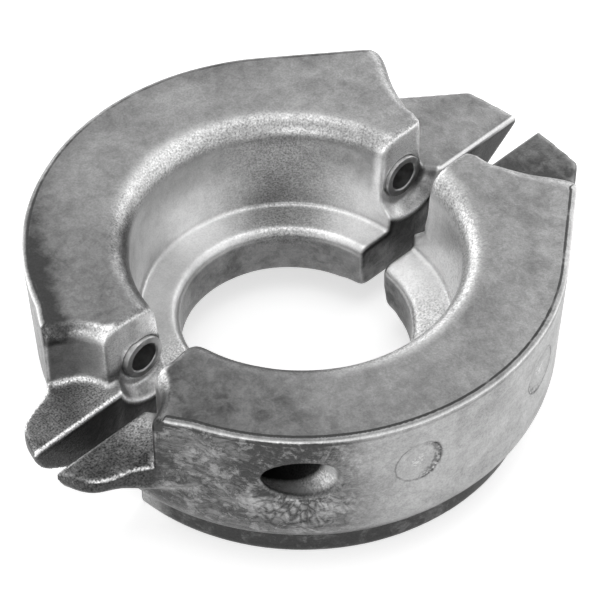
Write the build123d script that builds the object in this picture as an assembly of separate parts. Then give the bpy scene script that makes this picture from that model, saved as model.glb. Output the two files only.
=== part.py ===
"""Split-ring sacrificial anode for a boat's drive leg: two cast zinc halves with
steel bushes cast in at the bolt stations. Units mm. Origin on the ring axis at
the collar's rim, +Z up towards the bell mouth, split plane at y = 0, +X towards
the wing."""
import os
from math import atan2, cos, degrees, radians, sin, tan

from build123d import *

# ---- ring body ----
HEIGHT = 53.3            # collar rim to top face
OUTER_R = 70.3           # outer wall at the top face
WALL_DRAFT = 3.3         # outer wall leans in towards the bottom, degrees
CENTRE_Y = 3.1           # arc centre of each half, measured from the split plane
FACE_Y = 4.1             # mating face of each half, so the gap is 8.2
END_ROUND = 4.0          # top face rolling over into the end walls
RIM_ROUND = 1.1          # outer top edge, and down the corners of the end walls
BOTTOM_ROUND = 2.4       # bottom edges of the bore, the collar and the mating faces
BORE_FACE_ROUND = 1.0    # mating face edges along the bore and ledge
FACE_ROUND = 0.9         # mating face edges of the wing and the horn
CUP_ROUND = 0.6          # lower edge of each bush's recess
ROOT_ROUND = 0.6         # foot of the wing's end wall
LIP_ROUND = 0.9          # mouths of the access pockets

# ---- bore, ledge and bell mouth ----
BORE_R = 29.25
BORE_TOP_ROUND = 2.8
LEDGE_Z = 24.3           # flat ledge above the bore
BELL_R = 40.4            # foot of the bell wall
BELL_FOOT_ROUND = 0.8
BELL_TOP_R = 42.55       # bell wall, carried up to the top face
BELL_ROUND = 6.8         # rounding of the bell mouth

# ---- underside: the wall tucks in to an undercut cone, then a collar, hollow inside ----
TUCK_Z = 19.3            # where the outer wall starts to curve in
TUCK_R = 66.1            # where that curve meets the undercut cone
UNDERCUT_ANGLE = 37.5    # the cone rises outwards, degrees
COLLAR_R = 62.0
COLLAR_CONE_Z = 9.2      # where the cone meets the collar
RECESS_R = 54.0          # hollow inside the collar, at its roof
RECESS_Z = 8.9           # roof of the hollow, the bottom of the bore
RECESS_DRAFT = 4.0
RECESS_ROUND = 2.0

# ---- wing, the flat-ended lug on the +X side ----
WING_Z = 34.7            # top surface of the wing
WING_ANGLE = 51.8        # direction of the tangent wall's normal, degrees
WING_END_ANGLE = 6.0     # direction of the end face's normal
WING_TIP_X = 92.4        # at the mating face, level with the top face
WING_CORNER_ROUND = 2.0
WING_MIDDLE_X = 76.0     # half way along the wing's mating face
WING_WALL = [(57.2, 9.6), (60.0, 18.5), (64.3, 27.5), (67.6, 32.6), (69.3, 36.3), (69.6, 40.0)]
WING_WALL_BEYOND = (80.0, 60.0)  # the end wall's line, carried on past the casting
WING_FAR_X = 120.0

# ---- horn, the rounded lug on the -X side ----
HORN_Z = 34.3
HORN_WALL = [(-59.6, 9.0), (-61.6, 14.2), (-65.4, 17.6), (-72.5, 20.6)]
HORN_WALL_BEYOND = (-100.0, 21.0)  # the end wall's line, carried on past the casting
HORN_INNER_X = -50.0
HORN_MIDDLE_X = -75.0    # half way along the horn's mating face
HORN_FLARE_ANGLE = 157.0  # where the ring wall starts to flare into the horn
HORN_FLARE = (-67.7, 25.6)      # a point of the flare, level with the top face
HORN_FLARE_DRAFT = (0.5, -0.2)  # how it moves for each mm of the wall's draft
HORN_SIDE = [(-71.4, 19.9), (-75.0, 17.6), (-79.0, 16.4), (-82.6, 15.0), (-85.5, 12.7), (-87.3, 9.6)]
HORN_TIP_X = -89.4
HORN_END_X = -89.8       # the tip, carried on to the split plane
HORN_ROOT = (-56.0, 28.0)  # the horn starts inside the ring wall, here
HORN_TIP_LEAN = (-0.42, -0.91)  # direction of the horn's side where it meets the mating face
HORN_KEEL = [(-54.0, 1.7), (-61.3, 7.2), (-68.0, 12.5), (-76.0, 18.6), (-82.7, 23.4),
             (-86.7, 26.7), (-88.8, 30.2), (-90.6, 36.0)]
HORN_SLOPE = [0.76, 0.75, 0.73, 0.71, 0.60, 0.45, 0.35, 0.25]
HORN_SIDE_Y = 45.0       # the keel's slope is carried out to here
KEEL_FLOOR_Z = -8.0

# ---- bolt stations ----
WING_BOLT_X = 49.4
HORN_BOLT_X = -47.7
BOLT_Z = 36.9
BUSH_FACE_Y = 7.6        # bush face, behind the mating face
BUSH_END_Y = 22.0        # seat of the screw head
BUSH_R = 6.3
BUSH_HOLE_R = 4.2        # clearance for an M8 screw
POCKET_R = 6.9           # access pocket through the outer wall
CUP_R = 11.5             # recess round the bush, at the mating face
CUP_FLOOR_R = 8.8
CUP_FLOOR_Y = 8.4
CUP_EDGE_ANGLE = 72.0    # half way round the recess's lower edge, from the middle of its bush

# ---- round plug marks in the outer wall ----
PLUG_ANGLE = 19.2        # each side of the middle of a half, degrees
PLUG_R = 7.0
PLUG_Z = 36.7
PLUG_TILT = 5.0
PLUG_DEPTH = 0.9

AXIS = Pos(0, CENTRE_Y, 0)
BIG = 200.0
SPARE = 5.0              # how far a cutter runs past what it cuts
UNDERCUT_SLOPE = tan(radians(UNDERCUT_ANGLE))


def on_arc(radius, angle):
    """Point on a circle about the arc centre of a half."""
    return (radius * cos(radians(angle)), CENTRE_Y + radius * sin(radians(angle)))


def wall_radius(z):
    """Outer wall radius at a height."""
    return OUTER_R - (HEIGHT - z) * tan(radians(WALL_DRAFT))


def cone_z(radius):
    """Height of the undercut cone at a radius."""
    return COLLAR_CONE_Z + (radius - COLLAR_R) * UNDERCUT_SLOPE


def wing_plan(inset):
    """Plan of the wing and tangent wall, pulled in by the draft at some height."""
    radius = OUTER_R - inset
    n1 = (cos(radians(WING_ANGLE)), sin(radians(WING_ANGLE)))
    n2 = (cos(radians(WING_END_ANGLE)), sin(radians(WING_END_ANGLE)))
    reach1 = radius + n1[1] * CENTRE_Y
    reach2 = n2[0] * WING_TIP_X + n2[1] * FACE_Y - inset
    det = n1[0] * n2[1] - n1[1] * n2[0]
    corner = ((reach1 * n2[1] - reach2 * n1[1]) / det, (n1[0] * reach2 - n2[0] * reach1) / det)
    return [(10, 0), on_arc(radius, WING_ANGLE), corner, (reach2 / n2[0], 0)]


def wall_block():
    """Ring wall, tangent wall and wing as one tapered block."""
    core = AXIS * Cone(wall_radius(0), OUTER_R, HEIGHT,
                       align=(Align.CENTER, Align.CENTER, Align.MIN))
    top = Pos(0, 0, HEIGHT) * make_face(Polyline(*wing_plan(0), close=True))
    low = make_face(Polyline(*wing_plan(OUTER_R - wall_radius(0)), close=True))
    return core + loft([low, top], ruled=True)


def turned(profile_edges):
    """Solid of revolution about the ring axis from edges drawn as (radius, z)."""
    return AXIS * revolve(Plane.XZ * make_face(profile_edges), Axis.Z)


def undercut_cutter():
    """Everything outside the collar and below the undercut cone."""
    line = FilletPolyline((COLLAR_R - 5, -1), (COLLAR_R - 5, 0), (COLLAR_R, 0), (COLLAR_R, COLLAR_CONE_Z),
                          (BIG, cone_z(BIG)), (BIG, -1), radius=[0, 0, BOTTOM_ROUND, 0, 0, 0], close=True)
    return turned(line.edges())


def tuck_cutter():
    """Curve at the foot of the outer wall, round the ring and along the tangent wall."""
    high = (wall_radius(TUCK_Z), TUCK_Z)
    lean = radians(WALL_DRAFT)
    arc = TangentArc(high, (TUCK_R, cone_z(TUCK_R)), tangent=(-sin(lean), -cos(lean)))
    rest = Polyline(arc @ 1, (TUCK_R + 6, cone_z(TUCK_R) - 6), (TUCK_R + 20, cone_z(TUCK_R) - 6),
                    (TUCK_R + 20, TUCK_Z), high)
    profile = Plane.XZ * make_face([arc, *rest.edges()])
    start = AXIS * Rot(0, 0, WING_ANGLE) * profile
    ring = revolve(start, Axis((0, CENTRE_Y, 0), (0, 0, 1)), 180)
    along = (sin(radians(WING_ANGLE)), -cos(radians(WING_ANGLE)), 0)
    return ring + extrude(start, amount=60, dir=along)


def inner_cutter():
    """Hollow inside the collar, bore, ledge and bell mouth."""
    rim_r = RECESS_R + (RECESS_Z + 1) * tan(radians(RECESS_DRAFT))
    far_r = BELL_TOP_R + 12
    line = FilletPolyline((0, -1), (rim_r, -1), (RECESS_R, RECESS_Z), (BORE_R, RECESS_Z),
                          (BORE_R, LEDGE_Z), (BELL_R, LEDGE_Z), (BELL_TOP_R, HEIGHT), (far_r, HEIGHT),
                          (far_r, HEIGHT + 1), (0, HEIGHT + 1),
                          radius=[0, 0, RECESS_ROUND, BOTTOM_ROUND, BORE_TOP_ROUND, BELL_FOOT_ROUND,
                                  BELL_ROUND, 0, 0, 0], close=True)
    return turned(line.edges())


def wing_end_cutter():
    """Everything past the end wall, above the wing."""
    curve = Spline(*WING_WALL)
    rest = Polyline(curve @ 1, WING_WALL_BEYOND, (WING_FAR_X, WING_WALL_BEYOND[1]), (WING_FAR_X, -SPARE),
                    (WING_WALL[0][0], -SPARE), curve @ 0)
    return Pos(0, 0, WING_Z) * extrude(make_face([curve, *rest.edges()]), HEIGHT)


def horn_end_cutter():
    """Everything past the end wall, above the horn."""
    curve = Spline(*HORN_WALL)
    rest = Polyline(curve @ 1, HORN_WALL_BEYOND, (HORN_WALL_BEYOND[0], -SPARE), (HORN_INNER_X, -SPARE),
                    (HORN_INNER_X, HORN_WALL[0][1]), curve @ 0)
    return Pos(0, 0, HORN_Z) * extrude(make_face([curve, *rest.edges()]), HEIGHT)


def horn_plan(inset):
    """Plan of the horn and its flare; only the flare is pulled in by the draft."""
    start = on_arc(OUTER_R - inset, HORN_FLARE_ANGLE)
    turn = radians(HORN_FLARE_ANGLE + 90)
    flare = tuple(at + inset * draft for at, draft in zip(HORN_FLARE, HORN_FLARE_DRAFT))
    side = Spline(start, flare, *HORN_SIDE, (HORN_TIP_X, FACE_Y),
                  tangents=[(cos(turn), sin(turn)), HORN_TIP_LEAN])
    rest = Polyline(side @ 1, (HORN_END_X, 0), (HORN_ROOT[0], 0), HORN_ROOT, side @ 0)
    return make_face([side, *rest.edges()])


def horn_block():
    """Horn and the flare that leads the ring wall into it, with a keeled underside."""
    top = Pos(0, 0, HEIGHT) * horn_plan(0)
    body = loft([horn_plan(OUTER_R - wall_radius(0)), top], ruled=True)
    sections = []
    for (x, keel), slope in zip(HORN_KEEL, HORN_SLOPE):
        plane = Plane(origin=(x, 0, 0), x_dir=(0, 1, 0), z_dir=(1, 0, 0))
        edge_z = keel + slope * (HORN_SIDE_Y - FACE_Y)
        quad = Polyline((FACE_Y - SPARE, KEEL_FLOOR_Z), (FACE_Y - SPARE, keel), (FACE_Y, keel),
                        (HORN_SIDE_Y, edge_z), (HORN_SIDE_Y, KEEL_FLOOR_Z), close=True)
        sections.append(plane * make_face(quad))
    return body - loft(sections)


def cup_cutter(x):
    """Recess round a bush, open at the top."""
    top = HEIGHT + 20 - BOLT_Z
    arc = ThreePointArc((-CUP_R, 0), (0, -CUP_R), (CUP_R, 0))
    rest = Polyline((CUP_R, 0), (CUP_R, top), (-CUP_R, top), (-CUP_R, 0))
    face = make_face([arc, *rest.edges()])
    depth = CUP_FLOOR_Y - FACE_Y
    slope = degrees(atan2(CUP_R - CUP_FLOOR_R, depth))
    plane = Plane(origin=(x, FACE_Y, BOLT_Z), x_dir=(1, 0, 0), z_dir=(0, -1, 0))
    cone = extrude(plane * face, amount=depth, dir=(0, 1, 0), taper=slope)
    mouth = extrude(plane * face, amount=SPARE, dir=(0, -1, 0))
    return cone + mouth


def along_y(x, z, radius, y_low, y_high):
    """Cylinder along Y."""
    plane = Plane(origin=(x, y_low, z), z_dir=(0, 1, 0))
    return extrude(plane * Circle(radius), y_high - y_low)


def plug_cutter(side):
    """Shallow round mark, a little deeper on the side nearer the middle."""
    angle = 90 + side * PLUG_ANGLE
    radius = wall_radius(PLUG_Z) - PLUG_DEPTH
    x, y = on_arc(radius, angle)
    facing = radians(angle - side * PLUG_TILT)
    plane = Plane(origin=(x, y, PLUG_Z), z_dir=(cos(facing), sin(facing), 0))
    return extrude(plane * Circle(PLUG_R), 2 * SPARE)


def rounded(body, points, radius):
    """Round the edges whose middles lie nearest to some points, and what runs on smoothly from them."""
    edges = [min(body.edges(), key=lambda e: (e @ 0.5 - Vector(*p)).length) for p in points]
    return fillet(edges, radius)


def end_wall_middle(wall, z):
    """Middle of an end wall's line at a height."""
    middle = Spline(*wall) @ 0.5
    return (middle.X, middle.Y, z)


def cast_half():
    """One half, on the +Y side."""
    body = wall_block() - undercut_cutter() - tuck_cutter() - wing_end_cutter()
    body += horn_block()
    body -= horn_end_cutter()
    body -= Pos(0, FACE_Y, -1) * Box(2 * BIG, BIG, BIG, align=(Align.CENTER, Align.MAX, Align.MIN))
    body = rounded(body, [end_wall_middle(wall, HEIGHT) for wall in (WING_WALL, HORN_WALL)], END_ROUND)
    body -= inner_cutter()
    for x in (HORN_BOLT_X, WING_BOLT_X):
        body -= cup_cutter(x)
        body -= along_y(x, BOLT_Z, BUSH_R, BUSH_FACE_Y, BUSH_END_Y)
        body -= along_y(x, BOLT_Z, POCKET_R, BUSH_END_Y, BIG)
    for side in (-1, 1):
        body -= plug_cutter(side)
    return round_edges(body)


def round_edges(body):
    """The casting's rounded edges, from the rim down."""
    rim = on_arc(OUTER_R, (WING_ANGLE + HORN_FLARE_ANGLE) / 2)
    body = rounded(body, [(*rim, HEIGHT)], RIM_ROUND)
    corner = wing_plan(OUTER_R - wall_radius(WING_Z))[2]
    body = rounded(body, [(*corner, WING_Z)], WING_CORNER_ROUND)
    for x in (-BORE_R, BORE_R):
        body = rounded(body, [(x, FACE_Y, (RECESS_Z + LEDGE_Z) / 2)], BORE_FACE_ROUND)
    body = rounded(body, [(WING_MIDDLE_X, FACE_Y, WING_Z)], FACE_ROUND)
    body = rounded(body, [(HORN_MIDDLE_X, FACE_Y, HORN_Z)], FACE_ROUND)
    body = rounded(body, [(WING_MIDDLE_X, FACE_Y, cone_z(WING_MIDDLE_X))], FACE_ROUND)
    across = CUP_R * cos(radians(CUP_EDGE_ANGLE))
    edge_z = BOLT_Z - CUP_R * sin(radians(CUP_EDGE_ANGLE))
    cup_edges = [(x, FACE_Y, edge_z) for x in (WING_BOLT_X + across, HORN_BOLT_X - across)]
    body = rounded(body, cup_edges, CUP_ROUND)
    body = rounded(body, [end_wall_middle(WING_WALL, WING_Z)], ROOT_ROUND)
    lips = []
    for edge in body.edges():
        middle = edge @ 0.5
        near_bolt = min(abs(middle.X - WING_BOLT_X), abs(middle.X - HORN_BOLT_X)) < POCKET_R + 1
        near_pocket = near_bolt and abs(middle.Z - BOLT_Z) < POCKET_R + 1 and middle.Y > 2 * BUSH_END_Y
        if near_pocket and edge.length > POCKET_R and edge.geom_type == GeomType.BSPLINE:
            lips.append(edge)
    return fillet(lips, LIP_ROUND)


def bush(x):
    """Steel bush, cast in."""
    outside = along_y(x, BOLT_Z, BUSH_R, BUSH_FACE_Y, BUSH_END_Y)
    return outside - along_y(x, BOLT_Z, BUSH_HOLE_R, BUSH_FACE_Y - 1, BUSH_END_Y + 1)


def main():
    os.makedirs("parts", exist_ok=True)
    pieces = {"zinc_half": cast_half(), "wing_bush": bush(WING_BOLT_X), "horn_bush": bush(HORN_BOLT_X)}
    for name, piece in pieces.items():
        export_step(piece, f"parts/{name}_a.step")
        export_step(mirror(piece, Plane.XZ), f"parts/{name}_b.step")


if __name__ == "__main__":
    main()
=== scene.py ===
"""Split-ring sacrificial anode: as-cast zinc halves with steel bushes, on a pale studio floor."""
from collections import namedtuple
from math import cos, pi, radians, sin, tan

import bmesh
import bpy
import numpy as np
from mathutils import Matrix, Vector, noise


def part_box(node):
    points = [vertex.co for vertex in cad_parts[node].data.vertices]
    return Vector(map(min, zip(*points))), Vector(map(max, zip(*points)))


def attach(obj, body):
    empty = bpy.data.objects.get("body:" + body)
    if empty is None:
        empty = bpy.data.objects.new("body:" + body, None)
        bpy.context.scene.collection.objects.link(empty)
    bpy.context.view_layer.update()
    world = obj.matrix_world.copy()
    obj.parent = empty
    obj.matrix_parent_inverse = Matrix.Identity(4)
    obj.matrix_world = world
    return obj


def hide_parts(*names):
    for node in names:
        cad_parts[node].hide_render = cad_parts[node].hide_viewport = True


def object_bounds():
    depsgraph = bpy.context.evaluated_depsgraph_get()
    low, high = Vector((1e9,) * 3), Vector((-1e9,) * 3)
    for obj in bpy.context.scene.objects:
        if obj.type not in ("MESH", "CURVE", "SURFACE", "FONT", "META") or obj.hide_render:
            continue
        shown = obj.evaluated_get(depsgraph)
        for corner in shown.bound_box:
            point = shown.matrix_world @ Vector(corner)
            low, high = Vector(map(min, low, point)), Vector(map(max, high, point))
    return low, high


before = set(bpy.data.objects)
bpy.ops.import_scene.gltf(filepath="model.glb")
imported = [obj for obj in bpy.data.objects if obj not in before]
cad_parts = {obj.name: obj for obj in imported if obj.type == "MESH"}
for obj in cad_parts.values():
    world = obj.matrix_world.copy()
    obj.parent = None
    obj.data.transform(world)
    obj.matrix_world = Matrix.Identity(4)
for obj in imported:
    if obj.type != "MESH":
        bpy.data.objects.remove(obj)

bl_info = {
    "name": "Split-ring anode",
    "version": (1, 0, 0),
    "blender": (4, 5, 0),
    "location": "View3D > Sidebar > Anode",
    "description": "Builds a split-ring zinc anode with steel bushes on a studio floor",
    "category": "Object",
}

MM = 0.001
CAD_BOX = [list(corner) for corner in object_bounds()]
LOW = Vector(CAD_BOX[0]) / MM
HIGH = Vector(CAD_BOX[1]) / MM

# ---- places on the casting, in millimetres; each half mirrors the other in y ----
RING_Y = 3.1             # ring axis of a half, from the split plane
TOP_Z = HIGH.z           # top face
OUTER_R = 70.3           # outer wall at the top face
WALL_DRAFT = 3.3         # degrees
FACE_Y = min(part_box("zinc_half_a")[0].y / MM, 4.1)
FOOT_Z = 12.4            # crease where the outer wall meets the undercut
LEDGE_Z = 24.3
WING_BOLT_X = (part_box("wing_bush_a")[0].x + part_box("wing_bush_a")[1].x) / 2 / MM
HORN_BOLT_X = (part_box("horn_bush_a")[0].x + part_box("horn_bush_a")[1].x) / 2 / MM
BOLT_Z = (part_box("wing_bush_a")[0].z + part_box("wing_bush_a")[1].z) / 2 / MM
BUSH_FACE_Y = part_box("wing_bush_a")[0].y / MM
BUSH_END_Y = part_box("wing_bush_a")[1].y / MM
BUSH_R = (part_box("wing_bush_a")[1].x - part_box("wing_bush_a")[0].x) / 2 / MM
BUSH_HOLE_R = 4.2
BUSH_SEGMENTS = 96
PLUG_ANGLE = 19.2        # plug marks, each side of the middle of a half, degrees
PLUG_Z = 36.7
PLUG_R = 7.0
POCKET_R = 6.9
WING_Z = 34.7
HORN_Z = 34.3
WING_NORMAL = 51.8       # direction that the straight part of the outer wall faces, degrees
FLARE_ANGLE = 157.0      # where the outer wall flares into the horn, degrees
FLARE_FACING = (-0.85, 0.5)      # direction that the flare faces
RIM_ROUND = 1.1          # rounding of the top face's outer edge
RIM_STEP = 0.25          # spacing of the points that stand for that edge
RIM_FAR = 9.0            # distance from the rim past which nothing depends on it
RIM_FAR_INSIDE = 20.0
RIM_BATCH = 4000         # vertices set against the rim at a time
CUP_R = 11.5             # recess round each bush, at the mating face
CONVEX_REACH = 1.6       # radius of an edge's rounding that counts as lighter, from wear and painted highlight

# ---- bounds of the zones that are softened or toned apart, in millimetres ----
RECESS_Y = 12.0          # the recesses round the bushes end before this, from the split plane
BELL_REACH_R = 50.0      # the bell and the bore end before this, from the ring axis
WALL_FROM_R = 58.0       # the outer wall starts past this
HORN_ROOT_X = -56.0      # where the horn leaves the end wall
HORN_END_Y = 24.0        # how far the horn and its end wall reach from the split plane
HORN_INNER_Y = 17.0      # from here to the mating face they are brighter
WING_ROOT_X = 56.0       # where the wing leaves the end wall
FAN_REACH = 13.0         # half the width of the recess above a bush
BELL_UPPER_Z = 44.0      # the bell wall's own tones end here, below its mouth
LIP_DEPTH = 6.8          # depth of the painted highlight on the lip of an access pocket

# ---- directions from the ring axis, from the wing towards the horn, in degrees ----
HORN_SIDE_ANGLE = 112.0  # from here on the skin grows duller
MOUTH_BRIGHT_ANGLE = 93.0
BELL_MIDDLE_ANGLE = 48.0
BELL_MIDDLE_REACH = 19.0
BELL_GLOWS = ((84.0, 17.0), (18.0, 12.0))       # painted highlights on the bell wall, each with its reach

ALL_ROUNDS = 2
ZONE_ROUNDS = 4
FAN_ROUNDS, FAN_ROUNDS_QUICK = 24, 8
FOOT_ROUNDS, FOOT_ROUNDS_QUICK = 32, 10
WAVE_SIZE, RIPPLE_SIZE, RIPPLE_SHARE = 17, 6, 0.4

# ---- darkness of the skin by place, from tarnish and from painted highlight and shade: 0 is fresh metal, 1 is darkest ----
AGE_TOP = 0.755
# painted shade: the top face darker towards the horn
TOP_SHADE_AT_HORN = 0.89
AGE_WALL = 0.55
AGE_WALL_AT_HORN = 0.68
# painted shade on the foot, under the outer wall
FOOT_SHADE = 0.87
AGE_BELL = 0.34
# painted shade in the middle of the bell wall
BELL_MIDDLE_SHADE = 0.74
AGE_BELL_AT_HORN = 0.55
AGE_MOUTH = 0.60
# painted highlight on the back of the bell's mouth
MOUTH_HIGHLIGHT = 0.24
# painted shade on the bell's mouth at the horn
MOUTH_SHADE_AT_HORN = 0.95
# painted shade in the bore, below the ledge
BORE_SHADE = 0.91
# painted highlight on the sides of the recess above each bush
FAN_HIGHLIGHT = 0.0
# painted shade on one side of each recess, below the bush
AGE_CUP_SHADE = 0.80
# painted shade along the upright edges of the recesses
RECESS_EDGE_SHADE = 0.90
AGE_WING = 0.76
AGE_HORN = 0.84
# painted highlight along the horn's outer top edge
HORN_EDGE_HIGHLIGHT = 0.10
# painted shade on the mating face
GAP_SHADE = 1.0
# painted highlight along the top edge of the mating face
MATING_EDGE_HIGHLIGHT = 0.0
# painted shade on the horn's end rounding, and painted highlight on it near the mating face
END_ROUND_SHADE = 1.0
END_ROUND_HIGHLIGHT = 0.10
AGE_END_WALL = 0.73
AGE_END_WALL_INNER = 0.40
# painted shade inside the access pockets
POCKET_SHADE = 1.0
# painted highlight on the lip of the access pockets
POCKET_LIP_HIGHLIGHT = 0.0
# painted shade just below the horn's outer edge
BELOW_HORN_EDGE_SHADE = 1.0
# painted highlight along the recess's lower arc
CUP_ARC_HIGHLIGHT = 0.0

# ---- shares of painted shade added to the darkness by place, or of painted highlight taken from it ----
RIM_HIGHLIGHT_SHARE = 0.10       # painted highlight on the top face near its rim, where the look asks for it
HORN_HIGHLIGHT_SHARE = 0.30      # painted highlight on the horn's top near the mating face
STRIP_SHADE = 0.14      # painted shade on a strip beside the rim, at the horn's side
STRIP_BEAD_HIGHLIGHT = 0.5         # painted highlight on the bead on that strip's edge
ROOT_SHINE = 1.8         # painted highlight in the hollow edges at the horn's root
BELL_HOLLOW_SHADE = 0.5        # painted shade in the hollow edges in the bell

# ---- what each mark adds to the darkness: tone of the metal, and painted highlight and shade at the rim, edges and plug marks ----
DULL_START = -0.12
DULL_CLOUDS = 0.11
DULL_SMALL_CLOUDS = 0.08
# painted shade on the top face near its rim
SHADE_NEAR_RIM = 0.07
# rounded edges lighter: edge wear, and painted highlight
DULL_EDGE_WEAR_AND_HIGHLIGHT = -0.30
DULL_FLOW = {"Streaks": 0.30, "Lines": 0.07, "Plates": -0.14}
DULL_BESIDE_POCKET = {"Streaks": 0.16}
DULL_BELOW_POCKET = {"Cells": -0.22, "Outlines": 0.06}
# painted highlight on the bead round the outer rim
BEAD_HIGHLIGHT = -0.42
DULL_PLUG_RING = 0.13
# painted shade in a crescent on one side of each plug mark
DULL_PLUG_SHADE = 0.24
BELOW_LINE_SHARE = 0.25  # the painted shade line below the bead, as a share of the one above it
FOOT_FLOW = 0.4          # strength of the flow marks on the foot

# ---- sizes of the marks, in millimetres ----
GRAIN_SIZE = 0.52
CLOUD_SIZE, SMALL_CLOUD_SIZE = 15.0, 3.4
FLOW_LENGTH, FLOW_WIDTH = 11.0, 1.5
SPLASH_REACH = 24.0      # from the middle of an access pocket
RIM_BREAK = 5.0          # length of the pieces that the rim's lines are broken into

# ---- shader values ----
SAND_CONTRAST = 0.8
ZINC_METALLIC, ZINC_SPECULAR, ZINC_ROUGHNESS = 0.85, 0.3, 0.32
RELIEF_HEIGHT = 0.14 * MM
RELIEF_CLOUDS, RELIEF_PLUG = 0.4, 3.0
RELIEF_FLOW = {"Height": 1.2}
RELIEF_BESIDE_POCKET, RELIEF_BELOW_POCKET = {"Streaks": 0.6}, {"Cells": 0.8}
STEEL_BLOT_COLOUR = (0.12, 0.12, 0.12, 1)
STEEL_BLOT_SIZE, STEEL_SEED = 3.0, 11.0
STEEL_RING_SIZE, STEEL_RING_HEIGHT = 0.18, 0.02 * MM

# ---- stage ----
FLOOR_SIZE = 3.0         # metres from the middle to an edge
FLOOR_GAP = 0.02         # millimetres between the part and the floor
FLOOR_GLOW = 0.62        # light the floor gives off itself, as a lit studio table does
LAMP_DISTANCE = 0.9      # metres
LAMPS = (                # name, direction, width and height in metres, share of the key brightness
    ("lamp_far_right", (0.95, 0.20, 0.46), 0.75, 0.5, 1.0),
    ("lamp_far_left", (0.10, 0.98, 0.36), 0.75, 0.4, 1.0),
    ("lamp_above", (-0.05, -0.05, 1.0), 0.6, 0.6, 0.6),
    ("lamp_near_left", (-0.78, -0.58, 0.30), 0.35, 0.30, 1.5),
)
CAMERA_AT = Vector((-446.8, -465.5, 692.4))      # millimetres
CAMERA_TURN = -43.93     # azimuth the camera looks along, degrees from +Y towards -X
CAMERA_TILT = 45.78      # above the horizon, degrees
CAMERA_ROLL = -0.69      # degrees
FRAME_PIXELS = 600
OPTICAL_CENTRE = (299.91, 300.36)                # pixels from the frame's upper left corner
SENSOR_WIDTH = 36.0      # millimetres
CAMERA_REACH = 20        # metres

# ---- what sets the two halves' looks apart ----
HalfLook = namedtuple("HalfLook", "side seed extra_age bell_tarnish edge_shine rim_line shade_from "
                                  "lighter_rim rim_strip")
LOOKS = {
    "zinc_half_a": HalfLook(side=1, seed=0.0, extra_age=0.0, bell_tarnish=1.0, edge_shine=1.0,
                            rim_line=0.15, shade_from=-14.0, lighter_rim=0.0, rim_strip=1.0),
    "zinc_half_b": HalfLook(side=-1, seed=21.0, extra_age=0.08, bell_tarnish=0.2, edge_shine=0.3,
                            rim_line=0.5, shade_from=-25.2, lighter_rim=1.0, rim_strip=0.0),
}


# ---- settings ----

class AnodeCastingSettings(bpy.types.PropertyGroup):
    grid: bpy.props.FloatProperty(
        name="Grid", description="Size of the casting's mesh faces", default=0.62 * MM, min=0.2 * MM,
        unit="LENGTH")
    waviness: bpy.props.FloatProperty(
        name="Waviness", description="Height of the broad unevenness", default=0.10 * MM, unit="LENGTH")
    grain: bpy.props.FloatProperty(
        name="Grain", description="Height of the fine casting grain", default=0.09 * MM, unit="LENGTH")
    colour: bpy.props.FloatVectorProperty(
        name="Zinc", description="Colour of the fresh zinc", subtype="COLOR", default=(0.88, 0.88, 0.88),
        min=0, max=1)
    # the dark colour of the zinc, used for its tarnish and for its painted shade
    tarnish: bpy.props.FloatVectorProperty(
        name="Tarnish", description="Colour of the dulled zinc", subtype="COLOR",
        default=(0.05, 0.05, 0.05), min=0, max=1)


class AnodeBushSettings(bpy.types.PropertyGroup):
    chamfer: bpy.props.FloatProperty(
        name="Chamfer", description="Chamfer of the bush's edges", default=0.35 * MM, unit="LENGTH")
    colour: bpy.props.FloatVectorProperty(
        name="Steel", description="Colour of the turned steel", subtype="COLOR",
        default=(0.46, 0.46, 0.46), min=0, max=1)


class AnodeStageSettings(bpy.types.PropertyGroup):
    floor: bpy.props.FloatVectorProperty(
        name="Floor", description="Colour of the floor", subtype="COLOR", default=(0.86, 0.86, 0.86),
        min=0, max=1)
    ambient: bpy.props.FloatProperty(
        name="Ambient", description="Strength of the room's even light", default=0.55)
    key: bpy.props.FloatProperty(
        name="Key", description="Brightness of the lamps", default=2.2)
    lens: bpy.props.FloatProperty(
        name="Lens", description="Focal length of the camera in millimetres", default=206.2)


def link(made):
    """Put an object in the scene."""
    bpy.context.scene.collection.objects.link(made)


def settings():
    """The casting, bush and stage settings."""
    scene = bpy.context.scene
    return scene.anode_casting, scene.anode_bush, scene.anode_stage


# ---- shader helpers ----

def add(tree, kind, **values):
    """A new node, with its properties and inputs set by name. A socket as a value is linked."""
    made = tree.nodes.new(kind)
    for name, value in values.items():
        if hasattr(made, name):
            setattr(made, name, value)
    for name, value in values.items():
        if not hasattr(made, name):
            put(tree, made.inputs[name.replace("_", " ")], value)
    return made


def put(tree, socket, value):
    """Link a socket to the value, or set it."""
    if isinstance(value, bpy.types.NodeSocket):
        tree.links.new(value, socket)
    else:
        socket.default_value = value


def maths(tree, operation, first, second=0.0, third=0.0, clamp=False):
    """Output of a Math node."""
    made = tree.nodes.new("ShaderNodeMath")
    made.operation = operation
    made.use_clamp = clamp
    for socket, value in zip(made.inputs, (first, second, third)):
        put(tree, socket, value)
    return made.outputs[0]


def ramp(tree, value, low, high, start=0.0, end=1.0, smooth=True):
    """Value spread from start to end between low and high."""
    made = tree.nodes.new("ShaderNodeMapRange")
    made.interpolation_type = "SMOOTHSTEP" if smooth else "LINEAR"
    for socket, number in zip(made.inputs, (value, low, high, start, end)):
        put(tree, socket, number)
    return made.outputs["Result"]


def mixed(tree, factor, first, second, blend="MIX"):
    """Colour mix."""
    made = tree.nodes.new("ShaderNodeMix")
    made.data_type = "RGBA"
    made.blend_type = blend
    put(tree, made.inputs["Factor"], factor)
    put(tree, made.inputs[6], first)
    put(tree, made.inputs[7], second)
    return made.outputs[2]


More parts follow.
